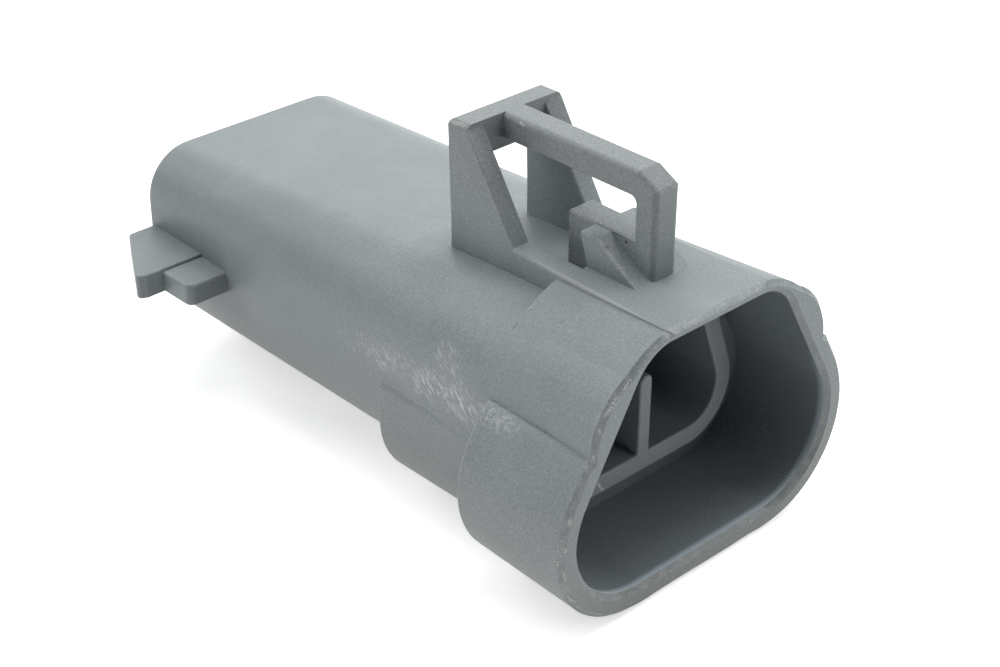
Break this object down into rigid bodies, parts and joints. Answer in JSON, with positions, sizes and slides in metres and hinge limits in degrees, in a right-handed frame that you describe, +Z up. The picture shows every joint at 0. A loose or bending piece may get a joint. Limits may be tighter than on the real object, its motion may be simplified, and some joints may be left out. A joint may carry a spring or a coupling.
{
  "type": "sensor connector housing",
  "caption": "Bare housing of an oxygen sensor connector, with an open latch guard, a D-shaped inner sleeve and a side lug.",
  "frame": {"origin": "centre of the mouth opening, in the plane of the rim", "axes": "+Y runs from the mouth to the rear, so the mouth faces -Y; +X runs across to the side without the lug; +Z is up, towards the latch guard"},
  "size_m": [0.0352, 0.0584, 0.033],
  "materials": {
    "housing": "satin, glass-filled, finely speckled"
  },
  "bodies": {
    "root": {"housing": "housing"}
  },
  "joints": []
}
